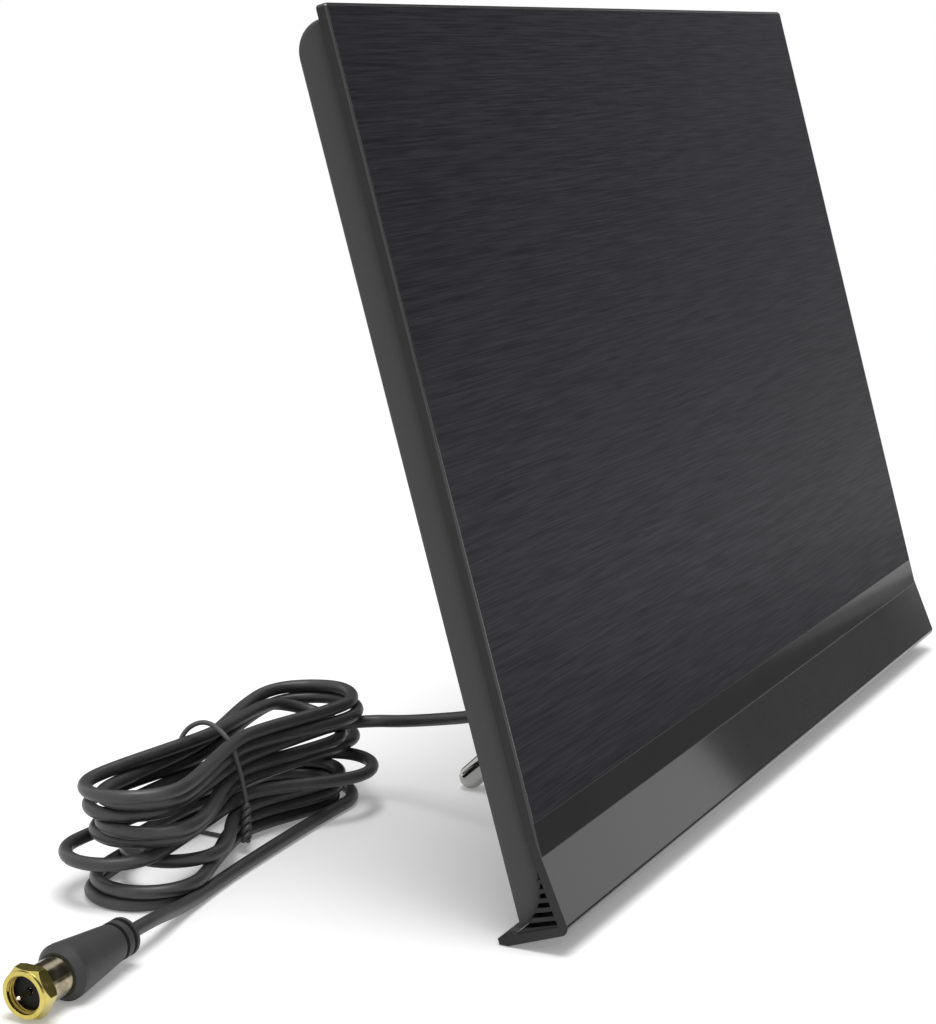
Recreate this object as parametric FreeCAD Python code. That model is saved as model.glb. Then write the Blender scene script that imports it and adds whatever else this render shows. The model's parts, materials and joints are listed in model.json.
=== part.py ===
"""Flat indoor television antenna on a folding chrome stand, with its coax lead tied in a hank.

Millimetres. X runs along the panel, -Y is the front and +Z is up. The origin is the middle of the
flat that the rubber strip under the foot rests on. The panel's pieces are drawn upright, with y = 0
and z = 0 at the foot's lower rear edge, and are then leaned back by the panel's tilt.
"""
import FreeCAD, Part
import math
import os

from FreeCAD import Placement, Rotation, Vector

# Panel
panel_width = 305.0
panel_height = 222.0
panel_tilt = 15.9
case_depth = 11.9
bezel_thickness = 2.6
bezel_corner = 1.2
bezel_chamfer = 0.4
fascia_thickness = 0.8
fascia_rim = 0.8
fascia_gap = 0.1

# Chin and foot under the fascia
chin_height = 28.6
chin_flat = 8.4
chin_lean = 7.4
chin_thickness = 2.3
foot_depth = 16.6
foot_thickness = 2.3
foot_slope = 4.15
foot_corner = 2.0
strip_width = 4.0
strip_height = 1.3
strip_proud = 0.25
strip_end_inset = 8.0
rest_flat_cut = 0.5

# Ribs in the open ends between chin and cover
rib_count = 6
rib_pitch = 2.25
rib_thickness = 1.1
rib_first_height = 3.2
rib_end_inset = 0.8
rib_length = 4.0
rib_web_thickness = 1.4
rib_gap = 0.3

# Back cover
cover_side_inset = 2.5
cover_top_inset = 2.6
cover_wall = 1.6
cover_top_radius = 7.5
cover_bottom_radius = 12.3
cover_bottom_height = 15.0
cover_side_round = 1.2
seam_width = 0.8
seam_inset = 0.8

# Screws and their bosses
cover_screw_head_radius = 2.6
cover_screw_head_height = 1.6
cover_screw_shank_radius = 1.3
saddle_screw_head_radius = 2.3
saddle_screw_head_height = 1.5
saddle_screw_shank_radius = 1.2
small_screw_head_radius = 2.0
small_screw_head_height = 1.2
small_screw_shank_radius = 0.9
screw_head_round = 0.4
screw_play = 0.05
screw_tip_gap = 0.3
boss_wall = 1.6
cover_screw_side_inset = 12.0
cover_screw_top_inset = 12.2
cover_screw_low = 30.0
cover_screw_seat = 1.6
bezel_boss_height = 2.4

# Board and what it carries
board_side_inset = 30.0
board_top_inset = 30.2
board_low = 70.0
board_thickness = 1.0
board_screw_inset = 7.0
radiator_thickness = 0.3
radiator_feed_gap = 16.0
radiator_feed_height = 22.0
radiator_side_inset = 20.0
radiator_end_inset = 15.0
can_width = 40.0
can_height = 20.0
can_wall = 0.4
can_low_offset = 4.0
can_cover_gap = 1.2

# Coax and its strain relief
cable_diameter = 3.5
cable_exit_x = -80.5
cable_exit_height = 43.0
cable_inner_bend = 4.5
cable_inner_wide_bend = 9.0
cable_inner_rise = 19.0
cable_inner_shift = 15.0
cable_board_gap = 0.2
cable_bore_play = 0.05
grommet_length = 9.0
grommet_base_radius = 3.6
grommet_tip_radius = 2.5
grommet_flange_radius = 4.6
grommet_flange_thickness = 1.0
clamp_rise = 9.5
clamp_length = 6.0
clamp_wall = 0.9
clamp_ear = 4.4
clamp_ear_thickness = 1.4
clamp_cover_gap = 0.3

# Stand
rod_diameter = 7.0
stand_spacing = 106.0
stand_bend_radius = 9.0
stand_elevation = 43.9
hinge_height = 49.5
hinge_gap = 0.3
hinge_play = 0.06
saddle_bend_gap = 7.5
saddle_length = 14.0
saddle_wall = 2.2
saddle_ear = 7.0
saddle_ear_thickness = 2.0
saddle_boss_depth = 3.4

# Hank and tie
hank_left_x = -161.5
hank_left_y = 99.0
hank_right_x = -81.0
hank_right_y = 94.0
hank_lobe_radius = 16.5
hank_waist = 20.0
hank_height = 31.5
tie_diameter = 1.3
tie_corner = 3.0
tie_play = 0.1
tie_groove = 3.0

# Plug, laid along -X from its rear end
plug_rear_x = -200.6
plug_rear_y = 73.4
boot_radius = 6.7
boot_rear_radius = 4.7
boot_length = 26.0
boot_full_length = 3.0
boot_groove_depth = 0.9
boot_ring = 1.8
boot_groove = 1.2
boot_shoulder = 1.8
boot_shoulder_drop = 1.44
sleeve_radius = 4.7
sleeve_inside_boot = 6.0
neck_length = 7.8
nut_flats = 11.1
nut_length = 4.2
nut_bore_radius = 4.5
nut_wall = 0.8
nut_rim_radius = 5.5
nut_rim_length = 0.7
nut_rear_bevel = 0.5
nut_play = 0.06
nut_end_play = 0.15
journal_radius = 3.6
flange_radius = 4.3
flange_thickness = 0.6
insulator_radius = 2.6
insulator_recess = 0.4
pin_radius = 0.5
pin_root_radius = 0.8
pin_reach = 2.0
pin_point_length = 0.5
pin_point_radius = 0.25

# Free runs of the cable, chosen by hand: from the grommet's tip to the hank, and from it to the plug
lead_route = [
    (-80.5, 28.8, 36.2),
    (-78.5, 44.0, 30.4),
    (-73.5, 60.5, 25.2),
    (-68.0, 77.0, 20.6),
    (-66.5, 90.0, 19.0),
]
tail_route = [
    (-150.0, 84.4, 1.8),
    (-162.0, 83.2, 1.9),
    (-176.0, 79.2, 3.6),
    (-189.5, 73.5, 6.6),
]
cord_arc_share = 0.45

# Planes and points that several pieces share, upright: y is measured from the foot's rear edge
tolerance = 1e-6
front = -foot_depth
bezel_back = front + bezel_thickness
seam_back = bezel_back + seam_width
cover_back = front + case_depth
cover_inside = cover_back - cover_wall
half_width = panel_width / 2
cover_half = half_width - cover_side_inset
cover_top = panel_height - cover_top_inset
crease_height = chin_height - chin_flat
cable_radius = cable_diameter / 2
cable_plane = cover_inside - clamp_cover_gap - clamp_wall - cable_radius
clamp_seat = cable_plane - cable_radius
clamp_height = cable_exit_height + clamp_rise
board_back = clamp_seat - cable_board_gap
board_front = board_back - board_thickness
board_half = cover_half - board_side_inset
board_top = cover_top - board_top_inset
board_middle = (board_low + board_top) / 2
cover_boss_front = bezel_back + bezel_boss_height
cover_screw_plane = cover_boss_front + cover_screw_seat
rod_radius = rod_diameter / 2
hinge_y = cover_back + hinge_gap + rod_radius
saddle_side = stand_spacing / 2 - stand_bend_radius - saddle_bend_gap - saddle_length / 2
saddle_seat = cover_back + saddle_ear_thickness
saddle_boss_front = cover_inside - saddle_boss_depth
cover_screw_sizes = (cover_screw_head_radius, cover_screw_head_height, cover_screw_shank_radius)
saddle_screw_sizes = (saddle_screw_head_radius, saddle_screw_head_height, saddle_screw_shank_radius)
small_screw_sizes = (small_screw_head_radius, small_screw_head_height, small_screw_shank_radius)
foot_angle = math.radians(foot_slope)
chin_angle = math.radians(chin_lean)
rest_angle = math.radians(panel_tilt + foot_slope)
rest_shift = rest_flat_cut * (1 / math.tan(rest_angle) - math.tan(rest_angle)) / 2
lean = Placement(Vector(0, rest_shift, -rest_flat_cut), Rotation(Vector(1, 0, 0), -panel_tilt))

# Stations along the plug, from its rear end forwards
hank_left = Vector(hank_left_x, hank_left_y, 0)
hank_right = Vector(hank_right_x, hank_right_y, 0)
plug_rear = Vector(plug_rear_x, plug_rear_y, boot_radius)
neck_end = boot_length + neck_length
nut_rear = neck_end + nut_end_play
nut_front = nut_rear + nut_length
flange_rear = nut_rear + nut_wall + nut_end_play
flange_front = flange_rear + flange_thickness
sleeve_rear = boot_length - sleeve_inside_boot
insulator_face = flange_front - insulator_recess


def leaned(shape):
    """The upright shape, leaned back and set down on the floor."""
    moved = shape.copy()
    moved.Placement = lean.multiply(moved.Placement)
    return moved


def mirrored(shape):
    return shape.mirror(Vector(0, 0, 0), Vector(1, 0, 0))


def same(value, target):
    return abs(value - target) < tolerance


def flat_point(y, z):
    return Vector(0, y, z)


def meet(start, along, other, other_along):
    """Where two lines in the YZ plane cross."""
    gap = other - start
    cross = along.y * other_along.z - along.z * other_along.y
    share = (gap.y * other_along.z - gap.z * other_along.y) / cross
    return start + along * share


def polygon_face(corners):
    return Part.Face(Part.makePolygon(corners + corners[:1]))


def prism(face, x_from, x_to):
    """A face in the YZ plane, drawn at x = 0, carried from x_from to x_to."""
    face.translate(Vector(x_from, 0, 0))
    return face.extrude(Vector(x_to - x_from, 0, 0))


def block(x_from, x_to, y_from, y_to, z_from, z_to):
    return Part.makeBox(x_to - x_from, y_to - y_from, z_to - z_from, Vector(x_from, y_from, z_from))


def post(x, z, y_from, y_to, radius):
    """A round post or hole that runs back along Y."""
    return Part.makeCylinder(radius, y_to - y_from, Vector(x, y_from, z), Vector(0, 1, 0))


def line(start, end):
    return Part.LineSegment(start, end).toShape()


def arc(start, through, end):
    return Part.Arc(start, through, end).toShape()


def on_circle(centre, radius, degrees):
    turn = math.radians(degrees)
    return flat_point(centre.y + radius * math.cos(turn), centre.z + radius * math.sin(turn))


def turned(points):
    """A solid of revolution about Z from (height, radius) points."""
    face = polygon_face([Vector(radius, 0, height) for height, radius in points])
    return face.revolve(Vector(0, 0, 0), Vector(0, 0, 1), 360)


def tube(edges, radius):
    """A round rod along a path of straight runs and tangent arcs."""
    path = Part.Wire(edges)
    first = path.OrderedEdges[0]
    start = first.valueAt(first.FirstParameter)
    heading = first.tangentAt(first.FirstParameter)
    if first.Orientation == "Reversed":
        start = first.valueAt(first.LastParameter)
        heading = first.tangentAt(first.LastParameter) * -1
    section = Part.Wire(Part.makeCircle(radius, start, heading))
    return path.makePipeShell([section], True, True)


def rounded_path(points, radii):
    """Straight runs between the points, with a tangent arc of the given radius at each inner point."""
    edges = []
    last = points[0]
    for before, corner, after, radius in zip(points, points[1:], points[2:], radii):
        back = (before - corner).normalize()
        ahead = (after - corner).normalize()
        half_turn = (math.pi - back.getAngle(ahead)) / 2
        reach = radius * math.tan(half_turn)
        inward = (back + ahead).normalize()
        middle = corner + inward * (radius / math.cos(half_turn) - radius)
        arc_start = corner + back * reach
        arc_end = corner + ahead * reach
        edges.append(line(last, arc_start))
        edges.append(arc(arc_start, middle, arc_end))
        last = arc_end
    edges.append(line(last, points[-1]))
    return edges


def cord_radii(points):
    """The largest arc that each corner's two runs allow."""
    radii = []
    for before, corner, after in zip(points, points[1:], points[2:]):
        shorter = min((corner - before).Length, (after - corner).Length)
        half_turn = (math.pi - (before - corner).getAngle(after - corner)) / 2
        radii.append(cord_arc_share * shorter / math.tan(half_turn))
    return radii


def cord(points):
    """A free run of cable, with its bend radii and its volume against section times length."""
    radii = cord_radii(points)
    edges = rounded_path(points, radii)
    solid = tube(edges, cable_radius)
    length = sum(edge.Length for edge in edges)
    swept = math.pi * cable_radius**2 * length
    print("bend radii", [round(radius, 1) for radius in radii], "length", round(length, 1))
    print("volume", round(solid.Volume, 1), "section times length", round(swept, 1))
    return solid


def screw_set(places, seat, tip, sizes):
    """Pan head screws whose heads sit on the plane y = seat and whose shanks run forward to y = tip."""
    head_radius, head_height, shank_radius = sizes
    screws = []
    for x, z in places:
        head = post(x, z, seat, seat + head_height, head_radius)
        rim = [edge for edge in head.Edges if same(edge.CenterOfMass.y, seat + head_height)]
        head = head.makeFillet(screw_head_round, rim)
        screws.append(head.fuse(post(x, z, tip, seat, shank_radius)).removeSplitter())
    return Part.makeCompound(screws)


def bridge(bore, wall, rise, ear, ear_thickness, length, hole):
    """Saddle on the plane y = 0 over a rod along X at y = rise, with a screw ear above and below."""
    crown = bore + wall
    reach = crown + ear
    half = length / 2
    axis_start = Vector(-half, rise, 0)
    along = Vector(1, 0, 0)
    body = block(-half, half, 0, ear_thickness, -reach, reach)
    body = body.fuse(
        [
            block(-half, half, 0, rise, -crown, crown),
            Part.makeCylinder(crown, length, axis_start, along),
        ]
    )
    body = body.common(block(-half, half, 0, rise + crown, -reach, reach))
    body = body.cut(Part.makeCylinder(bore, length, axis_start, along))
    body = body.cut(block(-half, half, 0, rise, -bore, bore))
    ear_middle = crown + ear / 2
    holes = [post(0, z, 0, ear_thickness, hole) for z in (-ear_middle, ear_middle)]
    return body.cut(Part.makeCompound(holes)).removeSplitter()


# Section points of chin and foot
foot_along = flat_point(-math.cos(foot_angle), math.sin(foot_angle))
foot_up = flat_point(math.sin(foot_angle), math.cos(foot_angle))
chin_down = flat_point(-math.sin(chin_angle), -math.cos(chin_angle))
chin_in = flat_point(math.cos(chin_angle), -math.sin(chin_angle))
upright = flat_point(0, 1)
foot_tip = flat_point(0, 0)
foot_tip_top = foot_up * foot_thickness
crease = flat_point(front, crease_height)
chin_corner = meet(crease, chin_down, foot_tip, foot_along)
chin_back_start = crease + chin_in * chin_thickness
chin_foot_inside = meet(chin_back_start, chin_down, foot_tip_top, foot_along)
chin_bend_inside = meet(chin_back_start, chin_down, flat_point(bezel_back, 0), upright)


def foot_top_at(y):
    return meet(foot_tip_top, foot_along, flat_point(y, 0), upright).z


def cover_section(grow, front_plane):
    """The cover's end outline as a face, grown outwards, from front_plane back."""
    top_centre = flat_point(cover_back - cover_top_radius, cover_top - cover_top_radius)
    low_centre = flat_point(seam_back + cover_bottom_radius, cover_bottom_height)
    back = cover_back + grow
    top_radius = cover_top_radius + grow
    low_radius = cover_bottom_radius + grow
    low_turn = math.degrees(math.acos((low_centre.y - back) / low_radius))
    top_front = flat_point(front_plane, cover_top + grow)
    top_start = flat_point(top_centre.y, cover_top + grow)
    top_end = flat_point(back, top_centre.z)
    low_start = on_circle(low_centre, low_radius, 180 + low_turn)
    low_end = flat_point(seam_back - grow, low_centre.z)
    edges = [
        line(top_front, top_start),
        arc(top_start, on_circle(top_centre, top_radius, 45), top_end),
        line(top_end, low_start),
        arc(low_start, on_circle(low_centre, low_radius, 180 + low_turn / 2), low_end),
    ]
    last = low_end
    if front_plane < low_end.y:
        low_front = flat_point(front_plane, low_end.z - grow)
        low_corner = flat_point(low_end.y, low_front.z)
        edges.append(line(low_end, low_corner))
        edges.append(line(low_corner, low_front))
        last = low_front
    edges.append(line(last, top_front))
    return Part.Face(Part.Wire(edges))


def cover_screw_places():
    side = cover_half - cover_screw_side_inset
    heights = (cover_screw_low, cover_top - cover_screw_top_inset)
    return [(x, z) for x in (-side, 0, side) for z in heights]


def board_screw_places():
    side = board_half - board_screw_inset
    heights = (board_low + board_screw_inset, board_top - board_screw_inset)
    return [(x, z) for x in (-side, side) for z in heights]


def clamp_screw_places():
    reach = cable_radius + cable_bore_play + clamp_wall + clamp_ear / 2
    return [(cable_exit_x + x, clamp_height) for x in (-reach, reach)]


def saddle_screw_places():
    reach = rod_radius + hinge_play + saddle_wall + saddle_ear / 2
    return [(x, hinge_height + z) for x in (-saddle_side, saddle_side) for z in (-reach, reach)]


def front_moulding():
    """Front frame, chin and foot as one section, with its posts, end webs and ribs."""
    section = [
        flat_point(front, panel_height),
        crease,
        chin_corner,
        foot_tip,
        foot_tip_top,
        chin_foot_inside,
        chin_bend_inside,
        flat_point(bezel_back, panel_height),
    ]
    body = prism(polygon_face(section), -half_width, half_width)
    chin_edges = [edge for edge in body.Edges if edge.CenterOfMass.isEqual(chin_corner, tolerance)]
    body = body.makeFillet(foot_corner, chin_edges)
    top_edges = [edge for edge in body.Edges if same(edge.CenterOfMass.z, panel_height)]
    corner_edges = [edge for edge in top_edges if same(abs(edge.CenterOfMass.x), half_width)]
    body = body.makeFillet(bezel_corner, corner_edges)
    flat_faces = [face for face in body.Faces if same(face.BoundBox.YLength, 0)]
    front_face = min(flat_faces, key=lambda face: face.CenterOfMass.y)
    rim = [edge for edge in front_face.Edges if not same(edge.CenterOfMass.z, crease_height)]
    body = body.makeChamfer(bezel_chamfer, rim)
    body = body.cut(fascia_block(0))
    body = body.fuse([end_ribs(), mirrored(end_ribs())])
    posts = []
    holes = []
    for places, top, sizes in (
        (cover_screw_places(), cover_boss_front, cover_screw_sizes),
        (board_screw_places(), board_front, small_screw_sizes),
        (clamp_screw_places(), clamp_seat, small_screw_sizes),
    ):
        hole = sizes[-1] + screw_play
        for x, z in places:
            posts.append(post(x, z, bezel_back, top, hole + boss_wall))
            holes.append(post(x, z, bezel_back, top, hole))
    return body.fuse(posts).cut(Part.makeCompound(holes)).removeSplitter()


def end_ribs():
    """Web and ribs that fill the left end of the channel between chin, foot and cover."""
    section = [
        chin_bend_inside,
        chin_foot_inside,
        flat_point(cover_back, foot_top_at(cover_back)),
        flat_point(cover_back, cover_bottom_height),
        flat_point(bezel_back, cover_bottom_height),
    ]
    rib_from = rib_end_inset - half_width
    web_from = rib_from + rib_length
    web_to = web_from + rib_web_thickness
    channel = prism(polygon_face(section), rib_from, web_to)
    channel = channel.cut(prism(cover_section(rib_gap, seam_back - rib_gap), -half_width, half_width))
    pieces = [block(web_from, web_to, front - foot_depth, cover_back, 0, panel_height)]
    for row in range(rib_count):
        low = rib_first_height + rib_pitch * row - rib_thickness / 2
        pieces.append(block(rib_from, web_from, front - foot_depth, cover_back, low, low + rib_thickness))
    return channel.common(pieces[0].fuse(pieces[1:]))


def fascia_block(gap):
    """The plate let into the front, or its pocket where gap is 0."""
    side = half_width - fascia_rim - gap
    top = panel_height - fascia_rim - gap
    return block(-side, side, front, front + fascia_thickness, chin_height + gap, top)


def back_pan():
    """Hollow cover with a neck that makes the shadow gap behind the front frame."""
    body = prism(cover_section(0, seam_back), -cover_half, cover_half)
    end_edges = [edge for edge in body.Edges if same(edge.BoundBox.XLength, 0)]
    round_edges = [
        edge
        for edge in end_edges
        if edge.CenterOfMass.y > seam_back + tolerance and edge.CenterOfMass.z > cover_bottom_height
    ]
    body = body.makeFillet(cover_side_round, round_edges)
    neck_half = cover_half - seam_inset
    neck_top = cover_top - seam_inset
    neck = block(-neck_half, neck_half, bezel_back, seam_back, cover_bottom_height, neck_top)
    hollow_half = cover_half - cover_wall
    hollow = prism(cover_section(-cover_wall, bezel_back), -hollow_half, hollow_half)
    body = body.fuse(neck).cut(hollow)
    posts = []
    holes = [post(cable_exit_x, cable_exit_height, cover_inside, cover_back, grommet_base_radius)]
    hole = cover_screw_shank_radius + screw_play
    well = cover_screw_head_radius + screw_play
    for x, z in cover_screw_places():
        posts.append(post(x, z, cover_boss_front, cover_inside, well + boss_wall))
        holes.append(post(x, z, cover_boss_front, cover_back, hole))
        holes.append(post(x, z, cover_screw_plane, cover_back, well))
    saddle_hole = saddle_screw_shank_radius + screw_play
    for x, z in saddle_screw_places():
        posts.append(post(x, z, saddle_boss_front, cover_inside, saddle_hole + boss_wall))
        holes.append(post(x, z, saddle_boss_front, cover_back, saddle_hole))
    return body.fuse(posts).cut(Part.makeCompound(holes)).removeSplitter()


def cover_screws():
    return screw_set(cover_screw_places(), cover_screw_plane, bezel_back + screw_tip_gap, cover_screw_sizes)


def board():
    plate = block(-board_half, board_half, board_front, board_back, board_low, board_top)
    hole = small_screw_shank_radius + screw_play
    holes = [post(x, z, board_front, board_back, hole) for x, z in board_screw_places()]
    return plate.cut(Part.makeCompound(holes))


def board_screws():
    return screw_set(board_screw_places(), board_back, bezel_back + screw_tip_gap, small_screw_sizes)


def right_element():
    """Flat metal element that widens from the feed at the middle to its outer end."""
    feed = radiator_feed_gap / 2
    end = board_half - radiator_side_inset
    feed_half = radiator_feed_height / 2
    end_half = board_top - board_middle - radiator_end_inset
    corners = [
        Vector(feed, board_back, board_middle - feed_half),
        Vector(end, board_back, board_middle - end_half),
        Vector(end, board_back, board_middle + end_half),
        Vector(feed, board_back, board_middle + feed_half),
    ]
    return polygon_face(corners).extrude(Vector(0, radiator_thickness, 0))


def can():
    side = can_width / 2
    low = board_low + can_low_offset
    high = low + can_height
    back = cover_inside - can_cover_gap
    outer = block(-side, side, board_back, back, low, high)
    side -= can_wall
    inner = block(-side, side, board_back, back - can_wall, low + can_wall, high - can_wall)
    return outer.cut(inner)


def inner_cable_path():
    """From the grommet's tip through the cover, up past the clamp and across the board to the can."""
    can_middle = board_low + can_low_offset + can_height / 2
    points = [
        Vector(cable_exit_x, cover_back + grommet_length, cable_exit_height),
        Vector(cable_exit_x, cable_plane, cable_exit_height),
        Vector(cable_exit_x, cable_plane, cable_exit_height + cable_inner_rise),
        Vector(cable_exit_x + cable_inner_shift, cable_plane, can_middle),
        Vector(-can_width / 2, cable_plane, can_middle),
    ]
    return rounded_path(points, [cable_inner_bend, cable_inner_wide_bend, cable_inner_wide_bend])


def grommet():
    """Rubber bush with a flange inside the cover and a tapered sleeve outside."""
    depth = cover_wall + grommet_flange_thickness
    body = turned(
        [
            (0, 0),
            (0, grommet_flange_radius),
            (grommet_flange_thickness, grommet_flange_radius),
            (grommet_flange_thickness, grommet_base_radius),
            (depth, grommet_base_radius),
            (depth + grommet_length, grommet_tip_radius),
            (depth + grommet_length, 0),
        ]
    )
    base = Vector(cable_exit_x, cover_back - depth, cable_exit_height)
    body.Placement = Placement(base, Rotation(Vector(0, 0, 1), Vector(0, 1, 0)))
    return body.cut(tube(inner_cable_path(), cable_radius + cable_bore_play))


def clamp():
    """Saddle over the coax inside the case, with its ears to the left and right."""
    hole = small_screw_shank_radius + screw_play
    bore = cable_radius + cable_bore_play
    body = bridge(bore, clamp_wall, cable_radius, clamp_ear, clamp_ear_thickness, clamp_length, hole)
    body.Placement = Placement(Vector(cable_exit_x, clamp_seat, clamp_height), Rotation(Vector(0, 1, 0), 90))
    return body


def clamp_screws():
    seat = clamp_seat + clamp_ear_thickness
    return screw_set(clamp_screw_places(), seat, bezel_back + screw_tip_gap, small_screw_sizes)


def right_saddle():
    """Saddle that holds the stand's cross bar against the cover."""
    hole = saddle_screw_shank_radius + screw_play
    bore = rod_radius + hinge_play
    rise = hinge_y - cover_back
    body = bridge(bore, saddle_wall, rise, saddle_ear, saddle_ear_thickness, saddle_length, hole)
    body.Placement = Placement(Vector(saddle_side, cover_back, hinge_height), Rotation())
    return body


def saddle_screws():
    tip = saddle_boss_front + screw_tip_gap
    return screw_set(saddle_screw_places(), saddle_seat, tip, saddle_screw_sizes)


def stand_rod():
    """Bent rod: cross bar in the saddles and two legs whose domed ends touch the floor."""
    hinge = lean.multVec(Vector(0, hinge_y, hinge_height))
    reach = (hinge.z - rod_radius) / math.tan(math.radians(stand_elevation))
    side = stand_spacing / 2
    points = [
        Vector(-side, hinge.y + reach, rod_radius),
        Vector(-side, hinge.y, hinge.z),
        Vector(side, hinge.y, hinge.z),
        Vector(side, hinge.y + reach, rod_radius),
    ]
    rod = tube(rounded_path(points, [stand_bend_radius] * 2), rod_radius)
    domes = [Part.makeSphere(rod_radius, points[0]), Part.makeSphere(rod_radius, points[-1])]
    return rod.fuse(domes).removeSplitter()


def split_foot(moulding):
    """The leaned moulding and the rubber strip let into the tip of its foot."""
    strip_half = half_width - strip_end_inset
    foot_reach = foot_depth + case_depth
    groove = block(-strip_half, strip_half, -strip_width, foot_reach, -strip_height, strip_height)
    floor = block(-panel_width, panel_width, -foot_reach, foot_reach, -foot_reach, 0)
    strip = moulding.common(groove).cut(floor)
    floor.translate(Vector(0, 0, strip_proud))
    return moulding.cut(groove).cut(floor), strip


def hank_middle():
    along = hank_right - hank_left
    return Placement((hank_left + hank_right) * 0.5, Rotation(Vector(1, 0, 0), along))


def hank():
    """Outer shape of the tied hank: two round lobes, a waist and a groove for the tie."""
    along = (hank_right - hank_left).normalize()
    side = Vector(-along.y, along.x, 0)
    middle = hank_middle()
    lobe = side * hank_lobe_radius
    waist = side * (hank_waist / 2)
    outline = Part.Wire(
        [
            arc(hank_left + lobe, hank_left - along * hank_lobe_radius, hank_left - lobe),
            arc(hank_left - lobe, middle.Base - waist, hank_right - lobe),
            arc(hank_right - lobe, hank_right + along * hank_lobe_radius, hank_right + lobe),
            arc(hank_right + lobe, middle.Base + waist, hank_left + lobe),
        ]
    )
    body = Part.Face(outline).extrude(Vector(0, 0, hank_height))
    groove_half = tie_groove / 2
    depth = tie_diameter + 2 * tie_play
    core_half = hank_waist / 2 - depth
    core = block(-groove_half, groove_half, -core_half, core_half, depth, hank_height - depth)
    core_corners = [edge for edge in core.Edges if same(edge.BoundBox.XLength, tie_groove)]
    core = core.makeFillet(tie_corner - tie_diameter / 2 - tie_play, core_corners)
    ring = block(-groove_half, groove_half, -hank_waist, hank_waist, 0, hank_height).cut(core)
    ring.Placement = middle
    return body.cut(ring)


def tie():
    """Wire loop in the hank's groove."""
    half = hank_waist / 2 - tie_play - tie_diameter / 2
    low = tie_play + tie_diameter / 2
    high = hank_height - low
    corners = [flat_point(y, z) for y, z in ((half, low), (half, high), (-half, high), (-half, low))]
    start = flat_point(0, low)
    loop = tube(rounded_path([start] + corners + [start], [tie_corner] * len(corners)), tie_diameter / 2)
    loop.Placement = hank_middle()
    return loop


def laid_plug(shape):
    """A plug piece turned about Z, laid along -X with its rear end at plug_rear."""
    shape.Placement = Placement(plug_rear, Rotation(Vector(0, 0, 1), Vector(-1, 0, 0)))
    return shape


def boot():
    groove_radius = boot_rear_radius - boot_groove_depth
    outline = [(0, 0), (0, groove_radius), (boot_groove_depth, boot_rear_radius)]
    station = boot_ring
    for groove in range(2):
        outline.append((station, boot_rear_radius))
        outline.append((station, groove_radius))
        outline.append((station + boot_groove, groove_radius))
        outline.append((station + boot_groove, boot_rear_radius))
        station += boot_groove + boot_ring
    outline += [
        (boot_length - boot_full_length, boot_radius),
        (boot_length - boot_shoulder, boot_radius),
        (boot_length, boot_radius - boot_shoulder_drop),
        (boot_length, sleeve_radius),
        (sleeve_rear, sleeve_radius),
        (sleeve_rear, 0),
    ]
    return laid_plug(turned(outline))


def sleeve():
    outline = [
        (sleeve_rear, insulator_radius),
        (sleeve_rear, sleeve_radius),
        (neck_end, sleeve_radius),
        (neck_end, journal_radius),
        (flange_rear, journal_radius),
        (flange_rear, flange_radius),
        (flange_front, flange_radius),
        (flange_front, insulator_radius),
    ]
    return laid_plug(turned(outline))


def nut():
    """Hex nut that lies on a flat, with a round front rim."""
    corner_radius = nut_flats / math.sqrt(3)
    corner_drop = corner_radius - nut_rim_radius
    corners = []
    for corner in range(6):
        turn = math.radians(30 + 60 * corner)
        corners.append(Vector(corner_radius * math.cos(turn), corner_radius * math.sin(turn), nut_rear))
    hexagon = polygon_face(corners).extrude(Vector(0, 0, nut_length))
    envelope = [
        (nut_rear, journal_radius + nut_play),
        (nut_rear, corner_radius - nut_rear_bevel),
        (nut_rear + nut_rear_bevel, corner_radius),
        (nut_front - nut_rim_length - corner_drop, corner_radius),
        (nut_front - nut_rim_length, nut_rim_radius),
        (nut_front, nut_rim_radius),
        (nut_front, nut_bore_radius),
        (nut_rear + nut_wall, nut_bore_radius),
        (nut_rear + nut_wall, journal_radius + nut_play),
    ]
    return laid_plug(turned(envelope).common(hexagon))


def insulator():
    outline = [
        (sleeve_rear, pin_root_radius),
        (sleeve_rear, insulator_radius),
        (insulator_face, insulator_radius),
        (insulator_face, pin_root_radius),
    ]
    return laid_plug(turned(outline))


def pin():
    tip = nut_front + pin_reach
    outline = [
        (sleeve_rear, 0),
        (sleeve_rear, pin_root_radius),
        (insulator_face, pin_root_radius),
        (insulator_face, pin_radius),
        (tip - pin_point_length, pin_radius),
        (tip, pin_point_radius),
        (tip, 0),
    ]
    return laid_plug(turned(outline))


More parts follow.
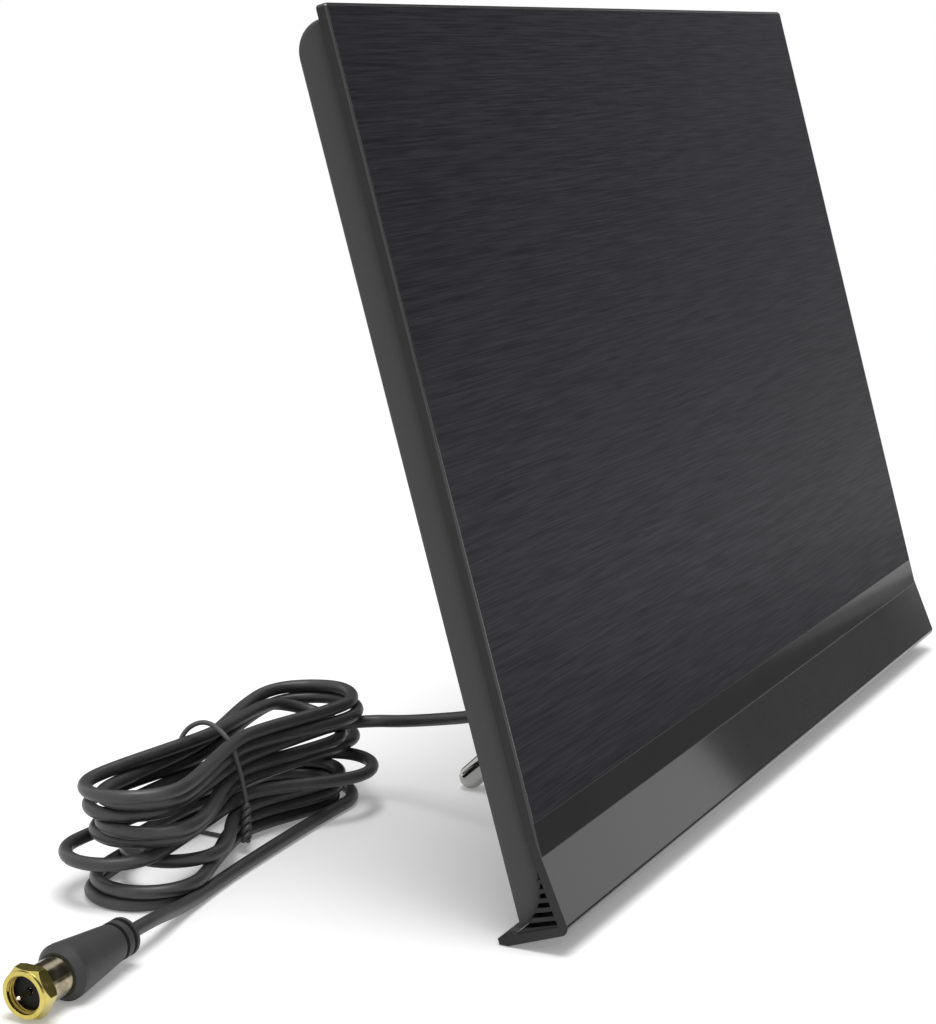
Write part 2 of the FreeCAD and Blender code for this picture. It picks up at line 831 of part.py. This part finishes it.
def build():
    moulding, strip = split_foot(leaned(front_moulding()))
    grommet_tip = lean.multVec(Vector(cable_exit_x, cover_back + grommet_length, cable_exit_height))
    lead_points = [grommet_tip] + [Vector(*point) for point in lead_route]
    tail_points = [Vector(*point) for point in tail_route] + [plug_rear]
    return {
        "front_bezel": moulding,
        "foot_strip": strip,
        "fascia_plate": leaned(fascia_block(fascia_gap)),
        "back_cover": leaned(back_pan()),
        "cover_screws": leaned(cover_screws()),
        "antenna_board": leaned(board()),
        "board_screws": leaned(board_screws()),
        "right_radiator": leaned(right_element()),
        "left_radiator": leaned(mirrored(right_element())),
        "shield_can": leaned(can()),
        "inner_coax": leaned(tube(inner_cable_path(), cable_radius)),
        "coax_clamp": leaned(clamp()),
        "clamp_screws": leaned(clamp_screws()),
        "cable_grommet": leaned(grommet()),
        "stand": stand_rod(),
        "right_hinge_saddle": leaned(right_saddle()),
        "left_hinge_saddle": leaned(mirrored(right_saddle())),
        "saddle_screws": leaned(saddle_screws()),
        "cable_lead": cord(lead_points),
        "cable_hank": hank(),
        "cable_tail": cord(tail_points),
        "cable_tie": tie(),
        "plug_boot": boot(),
        "plug_sleeve": sleeve(),
        "plug_nut": nut(),
        "plug_insulator": insulator(),
        "plug_pin": pin(),
    }


def main():
    os.makedirs("parts", exist_ok=True)
    for name, shape in build().items():
        print(name, "solids", len(shape.Solids), "valid", shape.isValid(), "volume", round(shape.Volume, 1))
        shape.exportStep(f"parts/{name}.step")


main()
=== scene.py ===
"""Looks of the flat indoor antenna.

Finishes for the solids, the tied coax hank and its twist tie, the thread, in a darker gold, and a dark ring
in the plug's nut, both painted shade for its bore, and the studio.
"""
import json
import math

import bmesh
import bpy
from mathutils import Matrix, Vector


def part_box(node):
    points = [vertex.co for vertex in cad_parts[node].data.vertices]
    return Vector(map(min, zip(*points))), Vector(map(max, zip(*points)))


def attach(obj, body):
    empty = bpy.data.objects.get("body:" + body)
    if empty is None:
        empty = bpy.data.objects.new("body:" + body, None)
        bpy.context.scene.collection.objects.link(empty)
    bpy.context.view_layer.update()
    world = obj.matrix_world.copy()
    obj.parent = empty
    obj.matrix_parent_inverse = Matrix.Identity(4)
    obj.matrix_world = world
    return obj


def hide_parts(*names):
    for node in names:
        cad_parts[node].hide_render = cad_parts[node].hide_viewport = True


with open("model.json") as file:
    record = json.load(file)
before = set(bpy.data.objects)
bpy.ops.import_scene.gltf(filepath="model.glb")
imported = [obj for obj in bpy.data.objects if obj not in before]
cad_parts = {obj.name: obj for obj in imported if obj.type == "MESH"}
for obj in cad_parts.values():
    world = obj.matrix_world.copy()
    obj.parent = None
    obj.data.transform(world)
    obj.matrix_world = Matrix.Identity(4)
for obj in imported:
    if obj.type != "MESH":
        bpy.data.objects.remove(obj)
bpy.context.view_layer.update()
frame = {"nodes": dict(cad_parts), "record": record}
nodes = frame["nodes"]

MM = 0.001
WHITE = (1, 1, 1, 1)

# Camera, worked out from the photo's perspective
camera_place = Vector((-0.6081, -0.2232, 0.2111))
camera_forward = Vector((0.8718, 0.4447, -0.2055))
camera_clip_start = 0.01
focal_pixels = 2290
image_height = 1024
sensor_size = 36

# Coax, in millimetres: the free runs as listed points, and the hank's turns between them
cable_diameter = 3.5
lead_route = [
    (-80.5, 16.51, 39.68),
    (-80.5, 29.2, 35.9),
    (-78.5, 44.0, 30.2),
    (-74.0, 60.5, 25.7),
    (-70.4, 72.0, 22.7),
    (-71.4, 80.2, 22.0),
    (-78.5, 86.8, 22.3),
    (-92.0, 89.6, 22.5),
]
tail_route = [
    (-104.0, 82.0, 1.75),
    (-120.0, 81.6, 1.75),
    (-136.0, 81.0, 1.75),
    (-150.0, 80.2, 1.75),
    (-163.0, 78.8, 1.9),
    (-176.0, 76.8, 3.4),
    (-189.5, 73.9, 6.4),
    (-200.6, 73.4, 6.7),
]

# Turns of the hank in winding order: left lobe and right lobe as (centre x, centre y, radius), y of the
# near and far strands at the waist, and the height of the near strand and the left lobe
hank_turns = [
    ((-157.9, 99.7, 12.0), (-82.2, 95.9, 14.4), 93.2, 105.4, 22.5),
    ((-158.8, 96.2, 11.0), (-82.4, 97.4, 14.4), 92.6, 105.6, 25.95),
    ((-162.5, 96.1, 13.0), (-83.2, 96.3, 10.6), 91.8, 103.0, 29.4),
    ((-158.5, 94.7, 12.6), (-74.0, 99.0, 12.0), 93.6, 105.8, 19.05),
    ((-156.0, 98.0, 13.0), (-86.4, 86.5, 12.4), 94.2, 105.6, 15.6),
    ((-165.8, 101.2, 12.2), (-86.5, 95.8, 11.4), 92.4, 106.2, 12.15),
    ((-149.2, 94.2, 12.6), (-87.0, 96.5, 11.4), 92.4, 106.2, 8.7),
    ((-161.4, 93.6, 13.5), (-86.8, 97.2, 11.0), 92.8, 106.2, 5.25),
    ((-162.6, 95.6, 12.6), (-85.2, 97.0, 15.2), 92.6, 110.0, 1.75),
]
# Waist y and height at which the last turn ends
hank_end = (92.0, 1.75)
hank_top = 30.0
# The far strands sag by this much at the top, from this y on and in full after this reach
hank_sag = 1.1
hank_sag_from = 92.0
hank_sag_reach = 14.0
# Heights along the second half of the turn that drops inside the others
hank_drop_turn = 2
hank_drop_heights = [29.3, 28.9, 27.8, 25.8, 23.0, 20.5, 19.0, 18.85]
# Straight run at the tie, and how much the tie lifts the lower strands there
waist_x = -120.0
waist_half = 6.0
waist_lift = 1.4
waist_reach = 14.0
lobe_steps = 5
climb_steps = 3

# Fineness of the round curves, round the wire and along it
wire_roundness = 6
wire_smoothness = 6

# Twist tie round the hank's waist, in millimetres
tie_diameter = 1.3
tie_twist_radius = 0.7
tie_twist_turns = 2.5
tie_twist_steps = 20
tie_twist_end = (-127.4, 87.4, 3.4)
tie_route = [
    (-124.2, 88.9, 13.0),
    (-124.4, 89.6, 16.5),
    (-125.7, 89.6, 21.2),
    (-127.9, 89.4, 25.5),
    (-129.6, 89.2, 29.6),
    (-129.8, 91.6, 32.6),
    (-127.6, 96.2, 33.9),
    (-128.0, 99.4, 34.6),
    (-129.0, 102.4, 33.4),
    (-127.8, 105.8, 30.4),
    (-124.8, 109.4, 26.0),
    (-122.5, 110.4, 18.0),
    (-121.0, 112.8, 8.0),
    (-120.5, 112.6, 1.4),
    (-120.5, 106.0, 0.65),
    (-120.5, 94.0, 0.65),
    (-121.0, 90.2, 1.2),
    (-121.5, 89.9, 5.0),
    (-122.8, 89.6, 10.0),
]

# Thread in the plug's nut, in millimetres; the half widths of its root and crest are shares of the pitch
nut_bore_radius = 4.5
thread_pitch = 0.794
thread_depth = 0.42
thread_bite = 0.03
thread_root = 0.45
thread_crest = 0.06
thread_lead_in = 0.45
thread_steps = 48
thread_turns = 2.5

# Dark ring at the bottom of the nut, painted shade for its bore, in millimetres
shade_ring_outer = 4.05
shade_ring_inner = 0.9
shade_ring_thickness = 0.25

# Soft blacks and greys: darkest and lightest grey, roughness of each, and specular level
rubbers = {
    "rubber_black": (0.016, 0.022, 0.6, 0.75, 0.3),
    "cable_black": (0.04, 0.05, 0.36, 0.44, 0.5),
    "tie_black": (0.085, 0.1, 0.45, 0.55, 0.4),
    "boot_grey": (0.037, 0.044, 0.5, 0.6, 0.35),
    "insulator_dark": (0.008, 0.012, 0.4, 0.5, 0.15),
}

# Metals: darkest and lightest colour, roughness of each, and the scale of the cloud between them
metals = {
    "screw_steel": ((0.3, 0.3, 0.31, 1), (0.42, 0.42, 0.43, 1), 0.25, 0.4, 60),
    "tin_sheet": ((0.55, 0.55, 0.53, 1), (0.66, 0.66, 0.64, 1), 0.2, 0.35, 60),
    "chrome": ((0.38, 0.38, 0.36, 1), (0.5, 0.5, 0.48, 1), 0.05, 0.09, 60),
    "plug_gold": ((0.5, 0.41, 0.09, 1), (0.64, 0.54, 0.17, 1), 0.2, 0.28, 300),
    # plug_nickel is darkened and tinted brown in a fine mottle: painted reflection of the dark brown that the
    # neck mirrors
    "plug_nickel": ((0.22, 0.18, 0.11, 1), (0.48, 0.42, 0.31, 1), 0.14, 0.24, 500),
    # The thread's gold is darker than plug_gold: painted shade for the thread inside the nut's bore
    "shaded_thread_gold": ((0.16, 0.11, 0.03, 1), (0.36, 0.27, 0.06, 1), 0.15, 0.25, 300),
    "pin_copper": ((0.75, 0.58, 0.42, 1), (0.85, 0.7, 0.55, 1), 0.15, 0.25, 60),
}

# Floor, in metres: half its width, its colour, the share of white that its background rays add, and the
# distances from the part between which it fades to white
floor_reach = 4.0
floor_colour = (0.92, 0.92, 0.92, 1)
floor_lift = 0.2
floor_fade_from = 0.3
floor_fade_to = 0.8

# Light: the sky's share of white on the part, and the lamp above it, in metres and watts
sky_strength = 0.44
key_place = (-0.22, -0.1, 1.5)
key_target = (0, 0, 0.05)
key_size = 0.8
key_power = 16.5

# Flags, cards that show only in reflections: how much their tone varies, and how far off the upright ones
# stand, in metres
flag_cloud = 0.1
flag_distance = 3.0

# Upright flags: first and last bearing, low and high angle in degrees, and tone
upright_flags = {
    "middle_flag": (-27.6, -20, -1, 40, 0.34),
    "right_flag": (-20, 8, 8, 40, 0.85),
    "right_low_flag": (-20, 8, -1, 8, 0.8),
    "rear_flag": (8, 65, -1, 35, 0.12),
    "upper_flag": (-75, -27.6, 9, 45, 0.12),
}

# Flags on the floor in front of the part, in metres: first and last x, and tone
floor_flag_near = -0.03
floor_flag_far = -3
floor_flag_height = 0.001
floor_flags = {
    "near_flag": (-0.15, 0.48, 0.12),
    "next_flag": (0.48, 0.6, 0.3),
    "far_flag": (0.6, 0.72, 0.8),
}


def show(name, data):
    """An object of the given name, put in the scene."""
    made = bpy.data.objects.new(name, data)
    bpy.context.collection.objects.link(made)
    return made


def material(name):
    """A new material, with its nodes and its shader."""
    made = bpy.data.materials.new(name)
    made.use_nodes = True
    return made, made.node_tree, made.node_tree.nodes["Principled BSDF"]


def node(tree, kind, **values):
    """A new node with the given values on its inputs."""
    made = tree.nodes.new(kind)
    for key, value in values.items():
        made.inputs[key.replace("_", " ")].default_value = value
    return made


def maths(tree, operation, first, second=0.0):
    """One operation on the first output and on the second, which may be a plain number."""
    made = node(tree, "ShaderNodeMath")
    made.operation = operation
    tree.links.new(first, made.inputs[0])
    if isinstance(second, float):
        made.inputs[1].default_value = second
    else:
        tree.links.new(second, made.inputs[1])
    return made.outputs[0]


def noise(tree, scale, stretch=(1, 1, 1), detail=4.0, roughness=0.6):
    """Noise in the part's own coordinates, squeezed by stretch along each axis."""
    place = node(tree, "ShaderNodeTexCoord")
    squeeze = node(tree, "ShaderNodeMapping", Scale=stretch)
    made = node(tree, "ShaderNodeTexNoise", Scale=scale, Detail=detail, Roughness=roughness)
    tree.links.new(place.outputs["Object"], squeeze.inputs["Vector"])
    tree.links.new(squeeze.outputs["Vector"], made.inputs["Vector"])
    return made.outputs["Fac"]


def ramp(tree, source, low, high, start=0.3, end=0.7):
    """A colour or grey that goes from low to high as the source goes from start to end."""
    made = node(tree, "ShaderNodeValToRGB")
    made.color_ramp.elements[0].position = start
    made.color_ramp.elements[1].position = end
    made.color_ramp.elements[0].color = low if isinstance(low, tuple) else (low, low, low, 1)
    made.color_ramp.elements[1].color = high if isinstance(high, tuple) else (high, high, high, 1)
    tree.links.new(source, made.inputs["Fac"])
    return made.outputs["Color"]


def bump(tree, shader, source, height, strength):
    """Relief of the given height in metres."""
    made = node(tree, "ShaderNodeBump", Strength=strength, Distance=height)
    tree.links.new(source, made.inputs["Height"])
    tree.links.new(made.outputs["Normal"], shader.inputs["Normal"])


def soft_edges(tree, shader, radius):
    """Edges shaded as if they were rounded by the radius, in metres."""
    made = node(tree, "ShaderNodeBevel", Radius=radius)
    tree.links.new(made.outputs["Normal"], shader.inputs["Normal"])


def brushed_black():
    """Hairline lacquered plate: short streaks along the width."""
    made, tree, shader = material("brushed_black")
    dark = (0.002, 0.002, 0.007, 1)
    light = (0.022, 0.022, 0.03, 1)
    streak = noise(tree, scale=2300, stretch=(0.022, 1, 1), detail=3.0)
    colour = ramp(tree, streak, dark, light, start=0.34, end=0.66)
    tree.links.new(colour, shader.inputs["Base Color"])
    tree.links.new(ramp(tree, streak, low=0.42, high=0.36), shader.inputs["Roughness"])
    shader.inputs["Specular IOR Level"].default_value = 0.2
    bump(tree, shader, streak, height=0.00002, strength=0.3)
    return made


def gloss_black():
    """Polished black moulding with a faint cloud in its gloss, and duller at its two ends."""
    made, tree, shader = material("gloss_black")
    cloud = noise(tree, scale=25)
    place = node(tree, "ShaderNodeTexCoord")
    split = node(tree, "ShaderNodeSeparateXYZ")
    tree.links.new(place.outputs["Normal"], split.inputs["Vector"])
    end = maths(tree, "ABSOLUTE", split.outputs["X"])
    polish = ramp(tree, cloud, low=0.06, high=0.08)
    dull = ramp(tree, end, low=0.0, high=0.4, start=0.8, end=0.95)
    tree.links.new(maths(tree, "MAXIMUM", polish, dull), shader.inputs["Roughness"])
    shine = ramp(tree, end, low=0.7, high=0.3, start=0.8, end=0.95)
    tree.links.new(shine, shader.inputs["Specular IOR Level"])
    tree.links.new(ramp(tree, cloud, low=0.014, high=0.018), shader.inputs["Base Color"])
    soft_edges(tree, shader, radius=0.0004)
    return made


def matte_grey():
    """Spark-eroded dark plastic, with painted shade that darkens its corners."""
    made, tree, shader = material("matte_grey")
    grain = noise(tree, scale=2600, detail=2.0)
    # Ambient occlusion multiplies the base colour: painted shade in the corners and next to the frame
    painted_corner_shade = node(tree, "ShaderNodeAmbientOcclusion", Distance=0.009)
    colour = node(tree, "ShaderNodeVectorMath")
    colour.operation = "MULTIPLY"
    tree.links.new(ramp(tree, grain, low=0.056, high=0.07), colour.inputs[0])
    tree.links.new(ramp(tree, painted_corner_shade.outputs["AO"], low=0.3, high=1.0, start=0.6, end=0.96), colour.inputs[1])
    tree.links.new(colour.outputs["Vector"], shader.inputs["Base Color"])
    tree.links.new(ramp(tree, grain, low=0.62, high=0.5), shader.inputs["Roughness"])
    shader.inputs["Specular IOR Level"].default_value = 0.3
    bump(tree, shader, grain, height=0.00005, strength=0.35)
    return made


def rubber(name, low, high, rough_low, rough_high, specular):
    """Soft black jacket or bush with a dull sheen."""
    made, tree, shader = material(name)
    cloud = noise(tree, scale=300)
    tree.links.new(ramp(tree, cloud, low, high), shader.inputs["Base Color"])
    tree.links.new(ramp(tree, cloud, rough_low, rough_high), shader.inputs["Roughness"])
    shader.inputs["Specular IOR Level"].default_value = specular
    bump(tree, shader, noise(tree, scale=2200, detail=2.0), height=0.00003, strength=0.3)
    return made


def metal(name, dark, light, rough_low, rough_high, scale):
    """Plated metal with a slight cloud in its polish."""
    made, tree, shader = material(name)
    cloud = noise(tree, scale)
    tree.links.new(ramp(tree, cloud, dark, light), shader.inputs["Base Color"])
    tree.links.new(ramp(tree, cloud, rough_low, rough_high), shader.inputs["Roughness"])
    shader.inputs["Metallic"].default_value = 1.0
    soft_edges(tree, shader, radius=0.0002)
    return made


def board_green():
    """Solder mask over a faint weave."""
    made, tree, shader = material("board_green")
    weave = noise(tree, scale=700)
    colour = ramp(tree, weave, low=(0.02, 0.1, 0.045, 1), high=(0.03, 0.14, 0.06, 1))
    tree.links.new(colour, shader.inputs["Base Color"])
    shader.inputs["Roughness"].default_value = 0.4
    return made


def all_finishes():
    """Every finish by the name of its slot."""
    made = {
        "gloss_black": gloss_black(),
        "brushed_black": brushed_black(),
        "matte_grey": matte_grey(),
        "board_green": board_green(),
    }
    for name, values in rubbers.items():
        made[name] = rubber(name, *values)
    for name, values in metals.items():
        made[name] = metal(name, *values)
    return made


def finish_nodes():
    """Each solid gets the finish that the record names for it."""
    for row in frame["record"]["subparts"]:
        mesh = nodes[row["node"]].data
        mesh.materials.clear()
        mesh.materials.append(finishes[row["material_slot"]])


def wire(name, points, diameter, slot):
    """A round curve along one smooth line through the control points, given in millimetres.

    The points carry the radius, times a bevel of one metre, so that the curve's box is as big as its tube.
    """
    curve = bpy.data.curves.new(name, "CURVE")
    curve.dimensions = "3D"
    curve.bevel_depth = 1
    curve.bevel_resolution = wire_roundness
    curve.resolution_u = wire_smoothness
    curve.use_fill_caps = True
    spline = curve.splines.new("NURBS")
    spline.points.add(len(points) - 1)
    for point, place in zip(spline.points, points):
        point.co = (place[0] * MM, place[1] * MM, place[2] * MM, 1)
        point.radius = diameter * MM / 2
    spline.order_u = 3
    spline.use_endpoint_u = True
    curve.materials.append(finishes[slot])
    made = show(name, curve)
    return made


def meeting_angle(lobe, point, side):
    """Angle round the lobe, in degrees, at which a straight run from the point meets it."""
    x, y, radius = lobe
    across = point[0] - x
    along = point[1] - y
    swing = math.acos(radius / math.hypot(across, along))
    return math.degrees(math.atan2(along, across) + side * swing) % 360


def lobe_points(lobe, first, last):
    """Control points round one end of a turn, from the first angle to the last, in degrees."""
    x, y, radius = lobe
    turn = (last - first) / lobe_steps
    reach = radius / math.cos(math.radians(turn / 2))
    points = []
    for step in range(lobe_steps + 1):
        angle = math.radians(first + turn * step)
        points.append((x + reach * math.cos(angle), y + reach * math.sin(angle)))
    return points


def turn_points(left, right, near_waist, far_waist, next_waist):
    """One turn seen from above: near side to the left, left lobe, far side to the right, right lobe."""
    start = (waist_x + waist_half, near_waist)
    near = (waist_x - waist_half, near_waist)
    far = (waist_x - waist_half, far_waist)
    back = (waist_x + waist_half, far_waist)
    end = (waist_x + waist_half, next_waist)
    points = [start, near]
    points += lobe_points(left, meeting_angle(left, near, -1), meeting_angle(left, far, 1))
    points += [far, back]
    points += lobe_points(right, meeting_angle(right, back, -1), meeting_angle(right, end, 1) - 360)
    return points


def hank_points():
    """The hank's control points: three turns that climb, a drop inside them, and six that go down.

    A turn keeps its height to the end of its left lobe and reaches the next turn's along the far side.
    """
    points = []
    starts = [(turn[2], turn[4]) for turn in hank_turns] + [hank_end]
    for index, (left, right, near_waist, far_waist, height) in enumerate(hank_turns):
        next_waist, next_height = starts[index + 1]
        outline = turn_points(left, right, near_waist, far_waist, next_waist)
        held = len(outline) // 2
        levels = [height] * held
        if index == hank_drop_turn:
            levels += hank_drop_heights
        else:
            climb = next_height - height
            levels += [height + climb * min(step / climb_steps, 1) for step in range(held)]
        for (x, y), level in zip(outline, levels):
            far_share = min(max((y - hank_sag_from) / hank_sag_reach, 0), 1)
            squeeze = math.exp(-(((x - waist_x) / waist_reach) ** 2))
            sag = hank_sag * (level - cable_diameter / 2) / hank_top * far_share
            points.append((x, y, level - sag + waist_lift * (1 - level / hank_top) * squeeze))
    return points


def coax():
    """The whole coax, from the bush in the cover to the plug's boot."""
    points = lead_route + hank_points() + tail_route
    made = wire("coax", points, cable_diameter, "cable_black")
    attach(made, "panel")
    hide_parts("cable_lead", "cable_hank", "cable_tail")
    return made


def spline_length(piece):
    """Length of a curve's own line in metres."""
    depth = piece.data.bevel_depth
    piece.data.bevel_depth = 0
    mesh = bpy.data.meshes.new_from_object(piece)
    piece.data.bevel_depth = depth
    places = [vertex.co.copy() for vertex in mesh.vertices]
    bpy.data.meshes.remove(mesh)
    return sum((after - before).length for before, after in zip(places, places[1:]))


def twist_tie():
    """Wire round the hank's waist with its two ends twisted together at the front."""
    start = Vector(tie_route[0])
    end = Vector(tie_twist_end)
    along = (end - start).normalized()
    side = along.cross(Vector((0, 0, 1))).normalized()
    other = along.cross(side)

    def twisted(phase):
        strand = []
        for step in range(1, tie_twist_steps + 1):
            share = step / tie_twist_steps
            angle = 2 * math.pi * tie_twist_turns * share + phase
            around = side * math.cos(angle) + other * math.sin(angle)
            strand.append(tuple(start.lerp(end, share) + around * tie_twist_radius))
        return strand

    points = list(reversed(twisted(0))) + tie_route + twisted(math.pi)
    made = wire("twist_tie", points, tie_diameter, "tie_black")
    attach(made, "panel")
    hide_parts("cable_tie")
    return made


def swept(name, rings, closed, finish):
    """A solid through rings of corners, closed end to end or with a cap on its first and last ring."""
    shape = bmesh.new()
    loops = [[shape.verts.new(painted_corner_shade) for painted_corner_shade in ring] for ring in rings]
    following = loops[1:]
    if closed:
        following = following + loops[:1]
    for before, after in zip(loops, following):
        for k in range(len(before)):
            n = (k + 1) % len(before)
            shape.faces.new((before[k], before[n], after[n], after[k]))
    if not closed:
        shape.faces.new(loops[0])
        shape.faces.new(list(reversed(loops[-1])))
    bmesh.ops.recalc_face_normals(shape, faces=shape.faces)
    mesh = bpy.data.meshes.new(name)
    shape.to_mesh(mesh)
    shape.free()
    mesh.materials.append(finishes[finish])
    return show(name, mesh)


def nut_thread():
    """Helical ridge on the wall of the nut's bore, in a darker gold that paints the bore's shade."""
    low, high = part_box("plug_nut")
    axis_y = (low.y + high.y) / 2
    axis_z = (low.z + high.z) / 2
    bore = nut_bore_radius * MM
    start = low.x + thread_lead_in * MM
    section = (
        (-thread_root, -thread_bite),
        (-thread_crest, thread_depth),
        (thread_crest, thread_depth),
        (thread_root, -thread_bite),
    )
    rings = []
    for step in range(int(thread_turns * thread_steps) + 1):
        angle = 2 * math.pi * step / thread_steps
        x = start + thread_pitch * MM * step / thread_steps
        ring = []
        for offset, depth in section:
            radius = bore - depth * MM
            across = axis_y + radius * math.cos(angle)
            up = axis_z + radius * math.sin(angle)
            ring.append((x + offset * thread_pitch * MM, across, up))
        rings.append(ring)
    made = swept("nut_thread", rings, False, "shaded_thread_gold")
    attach(made, "nut")


def nut_shade_ring():
    """Dark ring on the sleeve's front face, at the bottom of the nut's bore: painted shade that darkens the
    bore and its reflections.
    """
    low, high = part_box("plug_nut")
    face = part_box("plug_sleeve")[0].x
    centre = Vector((face, (low.y + high.y) / 2, (low.z + high.z) / 2))
    section = ((shade_ring_outer, 0), (shade_ring_outer, shade_ring_thickness), (shade_ring_inner, shade_ring_thickness), (shade_ring_inner, 0))
    rings = []
    for step in range(thread_steps):
        angle = 2 * math.pi * step / thread_steps
        around = Vector((0, math.cos(angle), math.sin(angle)))
        ring = []
        for radius, proud in section:
            ring.append(centre + around * (radius * MM) - Vector((proud * MM, 0, 0)))
        rings.append(ring)
    made = swept("nut_shade_ring", rings, True, "insulator_dark")
    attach(made, "panel")
    return made


def background_ray(tree):
    """1 for the rays that show the background: from the camera, or by way of gloss or glass."""
    path = node(tree, "ShaderNodeLightPath")
    seen = path.outputs["Is Camera Ray"]
    for kind in ("Is Glossy Ray", "Is Transmission Ray"):
        seen = maths(tree, "MAXIMUM", seen, path.outputs[kind])
    return seen


def studio():
    """White floor that keeps the shadow near the part and fades to white further out."""
    mesh = bpy.data.meshes.new("floor")
    sides = ((-1, -1), (1, -1), (1, 1), (-1, 1))
    corners = [(x * floor_reach, y * floor_reach, 0) for x, y in sides]
    mesh.from_pydata(corners, [], [(0, 1, 2, 3)])
    made, tree, shader = material("floor")
    tree.nodes.remove(shader)
    diffuse = node(tree, "ShaderNodeBsdfDiffuse", Color=floor_colour)
    white = node(tree, "ShaderNodeEmission", Color=WHITE, Strength=1.0)
    glow = node(tree, "ShaderNodeEmission", Color=WHITE)
    place = node(tree, "ShaderNodeTexCoord")
    distance = node(tree, "ShaderNodeVectorMath")
    distance.operation = "LENGTH"
    fade = node(tree, "ShaderNodeMapRange", From_Min=floor_fade_from, From_Max=floor_fade_to)
    fade.interpolation_type = "SMOOTHSTEP"
    tree.links.new(place.outputs["Object"], distance.inputs[0])
    tree.links.new(distance.outputs["Value"], fade.inputs["Value"])
    background = background_ray(tree)
    tree.links.new(maths(tree, "MULTIPLY", background, floor_lift), glow.inputs["Strength"])
    lit = node(tree, "ShaderNodeAddShader")
    tree.links.new(diffuse.outputs[0], lit.inputs[0])
    tree.links.new(glow.outputs[0], lit.inputs[1])
    mix = node(tree, "ShaderNodeMixShader")
    tree.links.new(maths(tree, "MULTIPLY", fade.outputs["Result"], background), mix.inputs["Fac"])
    tree.links.new(lit.outputs[0], mix.inputs[1])
    tree.links.new(white.outputs[0], mix.inputs[2])
    tree.links.new(mix.outputs[0], tree.nodes["Material Output"].inputs["Surface"])
    mesh.materials.append(made)
    floor = show("floor", mesh)


def flag(name, corners, tone):
    """A studio flag that only shows in reflections."""
    mesh = bpy.data.meshes.new(name)
    mesh.from_pydata(corners, [], [tuple(range(len(corners)))])
    made, tree, shader = material(name)
    cloth = noise(tree, scale=3)
    colour = ramp(tree, cloth, tone * (1 - flag_cloud), tone * (1 + flag_cloud))
    tree.links.new(colour, shader.inputs["Base Color"])
    shader.inputs["Roughness"].default_value = 0.9
    shader.inputs["Specular IOR Level"].default_value = 0.0
    mesh.materials.append(made)
    card = show(name, mesh)
    card.visible_camera = False
    card.visible_diffuse = False
    card.visible_shadow = False
    card.visible_transmission = False


def upright_flag(name, first, last, low, high, tone):
    """A flag at flag_distance, from the first to the last bearing and the low to the high angle."""
    corners = []
    for bearing, angle in ((first, low), (last, low), (last, high), (first, high)):
        turn = math.radians(bearing)
        height = flag_distance * math.tan(math.radians(angle))
        corners.append((flag_distance * math.cos(turn), flag_distance * math.sin(turn), height))
    flag(name, corners, tone)


def floor_flag(name, first, last, tone):
    """A flag that lies in front of the part, from the first to the last x."""
    near = floor_flag_near
    far = floor_flag_far
    outline = ((first, near), (first, far), (last, far), (last, near))
    flag(name, [(x, y, floor_flag_height) for x, y in outline], tone)


def sky():
    """Even light for the part, and plain white behind it and in its reflections."""
    world = bpy.data.worlds.new("sky")
    bpy.context.scene.world = world
    world.use_nodes = True
    tree = world.node_tree
    strength = node(tree, "ShaderNodeMapRange", To_Min=sky_strength, To_Max=1.0)
    tree.links.new(background_ray(tree), strength.inputs["Value"])
    tree.links.new(strength.outputs["Result"], tree.nodes["Background"].inputs["Strength"])
    tree.nodes["Background"].inputs["Color"].default_value = WHITE


def key_light():
    """One soft lamp above the part."""
    light = bpy.data.lights.new("key", "AREA")
    light.size = key_size
    light.energy = key_power
    lamp = show("key", light)
    lamp.location = key_place
    lamp.rotation_euler = (Vector(key_target) - Vector(key_place)).to_track_quat("-Z", "Y").to_euler()


def camera():
    """Camera at the photo's viewing angle."""
    data = bpy.data.cameras.new("camera")
    data.sensor_width = sensor_size
    data.lens = focal_pixels * sensor_size / image_height
    data.clip_start = camera_clip_start
    lens = show("camera", data)
    lens.location = camera_place
    lens.rotation_euler = camera_forward.to_track_quat("-Z", "Y").to_euler()
    bpy.context.scene.camera = lens


finishes = all_finishes()
finish_nodes()
cord = coax()
tie = twist_tie()
nut_thread()
shade_ring = nut_shade_ring()
spline_length(cord)
studio()
for name, values in upright_flags.items():
    upright_flag(name, *values)
for name, values in floor_flags.items():
    floor_flag(name, *values)
sky()
key_light()
camera()
bpy.context.scene.view_settings.view_transform = "Standard"
